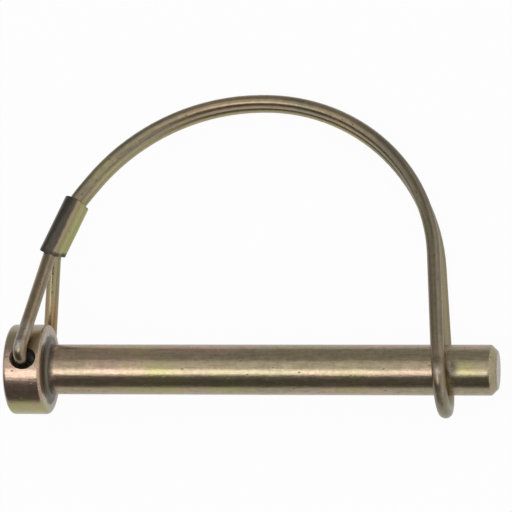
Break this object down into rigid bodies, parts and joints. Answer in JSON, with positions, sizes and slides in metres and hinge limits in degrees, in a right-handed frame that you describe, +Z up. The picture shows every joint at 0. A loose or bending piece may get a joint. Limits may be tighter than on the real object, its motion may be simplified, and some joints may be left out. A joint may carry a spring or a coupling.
{
  "type": "wire lock pin",
  "caption": "Headed steel pin with a rounded spring-wire bail: its ends pivot in the cross-drilled collar, a sleeve clamps the strands, and its loop snaps over the shaft near the tip.",
  "frame": {"origin": "centre of the collar's bearing face, on the shaft's axis", "axes": "the locked pin as it lies at rest on a level surface: +Z up, +X level along the heading of the shaft from the collar to the tip (the shaft itself dips 3 degrees towards the tip), +Y across towards the arch of the bail"},
  "size_m": [0.098, 0.0668, 0.0256],
  "materials": {
    "pin": "turned steel with a bright yellow-passivated zinc plate, olive and pinkish in the highlights",
    "bail_wire": "drawn spring wire with a yellow-passivated zinc plate, olive-grey, scuffed silver at the elbows",
    "sleeve": "crimped steel sleeve with a yellow-passivated zinc plate, greenish yellow"
  },
  "bodies": {
    "pin": {"pin": "pin"},
    "bail": {"bail_wire": "bail_wire", "sleeve": "sleeve"}
  },
  "joints": [
    {"name": "bail_swing", "type": "hinge", "parent": "pin", "child": "bail", "pos_m": [-0.00319, -0.0003, 0.0002], "axis": [0.0526, 0.1089, 0.9927], "range_deg": [0, 255], "deforming": ["bail_wire"]}
  ]
}
